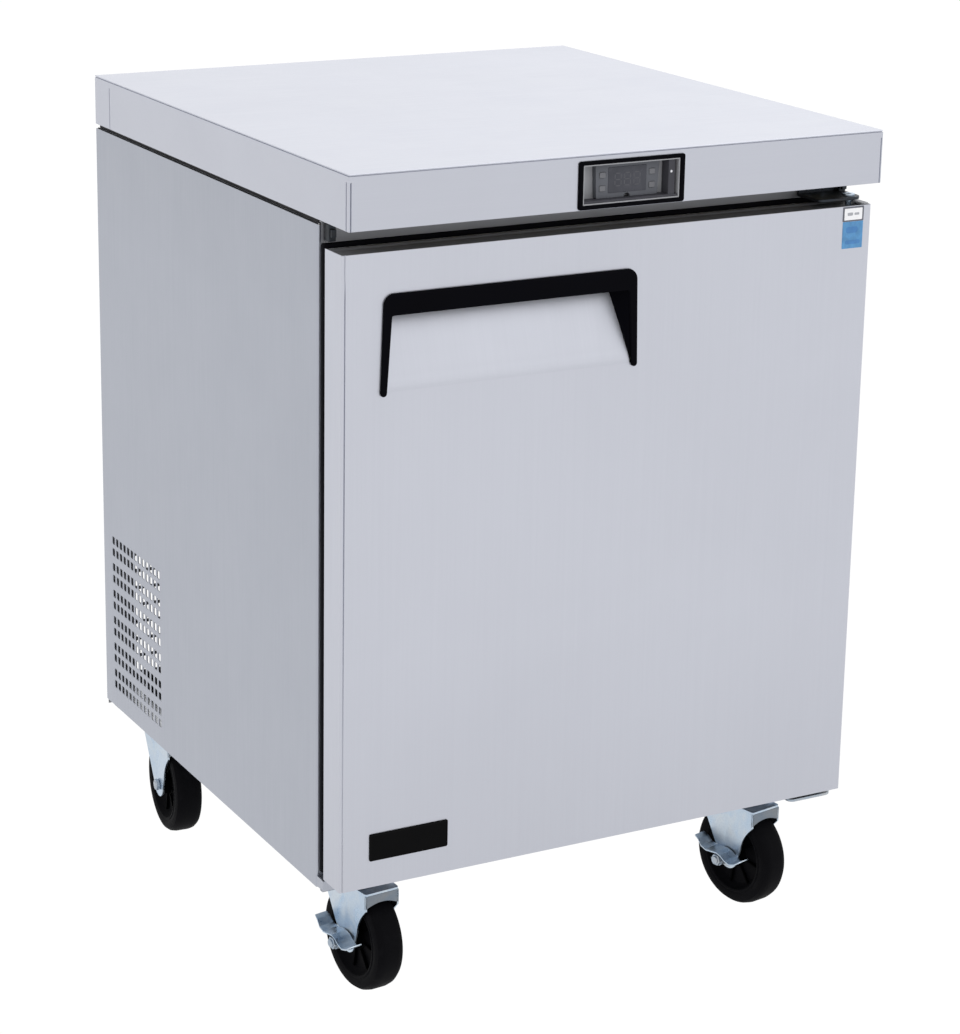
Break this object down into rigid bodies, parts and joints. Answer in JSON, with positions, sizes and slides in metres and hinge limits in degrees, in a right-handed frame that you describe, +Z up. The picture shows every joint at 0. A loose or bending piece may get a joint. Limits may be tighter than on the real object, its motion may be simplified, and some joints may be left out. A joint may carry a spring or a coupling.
{
  "type": "undercounter refrigerator",
  "caption": "Single-door stainless undercounter refrigerator with a recessed pull, a digital control window, side vents, inner shelves and braked swivel casters.",
  "frame": {"origin": "on the floor under the middle of the cabinet's width and depth", "axes": "+Z up, the front and door face -Y, +X to the right as seen from the front"},
  "size_m": [0.686, 0.739, 0.98],
  "materials": {
    "stainless": "fine brushed stainless sheet",
    "black_plastic": "satin black",
    "grey_plastic": "satin grey",
    "display_glass": "gloss dark window",
    "zinc_steel": "bright zinc plate with a blue cast",
    "caster_rubber": "matt black",
    "gasket_rubber": "matt black",
    "black_steel": "satin black paint",
    "aluminium": "mill finish",
    "white_plastic": "satin white",
    "foam": "rigid foamed-in-place insulation"
  },
  "bodies": {
    "cabinet": {"back_panel": "stainless", "base_pan": "stainless", "bottom_hinge": "zinc_steel", "cabinet_insulation": "foam", "caster_plate_front_left": "zinc_steel", "caster_plate_front_right": "zinc_steel", "caster_plate_rear_left": "zinc_steel", "caster_plate_rear_right": "zinc_steel", "compressor": "black_steel", "condenser_coil": "aluminium", "condenser_motor": "black_steel", "control_bezel": "black_plastic", "control_housing": "grey_plastic", "controller_body": "grey_plastic", "cord_gland": "black_plastic", "display_lens": "display_glass", "drain_pan": "black_plastic", "evaporator_coil": "aluminium", "evaporator_cover": "white_plastic", "evaporator_motor": "black_steel", "fan_shroud": "zinc_steel", "front_frame": "black_plastic", "inner_liner": "aluminium", "rear_cover": "stainless", "rear_rail": "black_steel", "shelf_lower": "zinc_steel", "shelf_rack_left": "zinc_steel", "shelf_rack_right": "zinc_steel", "shelf_upper": "zinc_steel", "side_panel_left": "stainless", "side_panel_right": "stainless", "top_hinge": "zinc_steel", "top_rail": "stainless", "worktop": "stainless", "worktop_core": "foam"},
    "door": {"door_skin": "stainless", "door_top_cap": "black_plastic", "door_bottom_cap": "black_plastic", "door_insulation": "foam", "door_liner": "white_plastic", "door_gasket": "gasket_rubber", "handle_trim": "black_plastic", "handle_floor": "stainless", "nameplate": "black_plastic"},
    "condenser_fan": {"condenser_fan": "aluminium"},
    "evaporator_fan": {"evaporator_fan": "black_plastic"},
    "button_lower_left": {"button_lower_left": "black_plastic"},
    "button_lower_right": {"button_lower_right": "black_plastic"},
    "button_upper_left": {"button_upper_left": "black_plastic"},
    "button_upper_right": {"button_upper_right": "black_plastic"},
    "swivel_front_left": {"caster_fork_front_left": "zinc_steel"},
    "wheel_front_left": {"caster_wheel_front_left": "caster_rubber"},
    "brake_front_left": {"brake_lever_front_left": "zinc_steel"},
    "swivel_front_right": {"caster_fork_front_right": "zinc_steel"},
    "wheel_front_right": {"caster_wheel_front_right": "caster_rubber"},
    "brake_front_right": {"brake_lever_front_right": "zinc_steel"},
    "swivel_rear_left": {"caster_fork_rear_left": "zinc_steel"},
    "wheel_rear_left": {"caster_wheel_rear_left": "caster_rubber"},
    "swivel_rear_right": {"caster_fork_rear_right": "zinc_steel"},
    "wheel_rear_right": {"caster_wheel_rear_right": "caster_rubber"}
  },
  "joints": [
    {"name": "door_hinge", "type": "hinge", "parent": "cabinet", "child": "door", "pos_m": [0.325, -0.331, 0.52], "axis": [0, 0, 1], "range_deg": [0, 120]},
    {"name": "condenser_fan_spin", "type": "hinge", "parent": "cabinet", "child": "condenser_fan", "pos_m": [-0.036, 0.2675, 0.27], "axis": [1, 0, 0], "continuous": true},
    {"name": "evaporator_fan_spin", "type": "hinge", "parent": "cabinet", "child": "evaporator_fan", "pos_m": [0, 0.233, 0.76], "axis": [0, 1, 0], "continuous": true},
    {"name": "button_lower_left_press", "type": "slide", "parent": "cabinet", "child": "button_lower_left", "axis": [0, 1, 0], "range_m": [0, 0.0008], "stiffness_N_per_m": 1500},
    {"name": "button_lower_right_press", "type": "slide", "parent": "cabinet", "child": "button_lower_right", "axis": [0, 1, 0], "range_m": [0, 0.0008], "stiffness_N_per_m": 1500},
    {"name": "button_upper_left_press", "type": "slide", "parent": "cabinet", "child": "button_upper_left", "axis": [0, 1, 0], "range_m": [0, 0.0008], "stiffness_N_per_m": 1500},
    {"name": "button_upper_right_press", "type": "slide", "parent": "cabinet", "child": "button_upper_right", "axis": [0, 1, 0], "range_m": [0, 0.0008], "stiffness_N_per_m": 1500},
    {"name": "swivel_front_left", "type": "hinge", "parent": "cabinet", "child": "swivel_front_left", "pos_m": [-0.283, -0.254, 0.14], "axis": [0, 0, 1], "continuous": true},
    {"name": "wheel_spin_front_left", "type": "hinge", "parent": "swivel_front_left", "child": "wheel_front_left", "pos_m": [-0.28004, -0.28787, 0.0635], "axis": [0.9962, 0.0872, 0], "continuous": true},
    {"name": "brake_front_left", "type": "hinge", "parent": "swivel_front_left", "child": "brake_front_left", "pos_m": [-0.28004, -0.28787, 0.0635], "axis": [0.9962, 0.0872, 0], "range_deg": [-16, 0]},
    {"name": "swivel_front_right", "type": "hinge", "parent": "cabinet", "child": "swivel_front_right", "pos_m": [0.24, -0.254, 0.14], "axis": [0, 0, 1], "continuous": true},
    {"name": "wheel_spin_front_right", "type": "hinge", "parent": "swivel_front_right", "child": "wheel_front_right", "pos_m": [0.2459, -0.28748, 0.0635], "axis": [0.9848, 0.1736, 0], "continuous": true},
    {"name": "brake_front_right", "type": "hinge", "parent": "swivel_front_right", "child": "brake_front_right", "pos_m": [0.2459, -0.28748, 0.0635], "axis": [0.9848, 0.1736, 0], "range_deg": [-16, 0]},
    {"name": "swivel_rear_left", "type": "hinge", "parent": "cabinet", "child": "swivel_rear_left", "pos_m": [-0.302, 0.258, 0.14], "axis": [0, 0, 1], "continuous": true},
    {"name": "wheel_spin_rear_left", "type": "hinge", "parent": "swivel_rear_left", "child": "wheel_rear_left", "pos_m": [-0.30437, 0.22408, 0.0635], "axis": [0.9976, -0.0698, 0], "continuous": true},
    {"name": "swivel_rear_right", "type": "hinge", "parent": "cabinet", "child": "swivel_rear_right", "pos_m": [0.25, 0.258, 0.14], "axis": [0, 0, 1], "continuous": true},
    {"name": "wheel_spin_rear_right", "type": "hinge", "parent": "swivel_rear_right", "child": "wheel_rear_right", "pos_m": [0.24177, 0.22501, 0.0635], "axis": [0.9703, -0.2419, 0], "continuous": true}
  ]
}
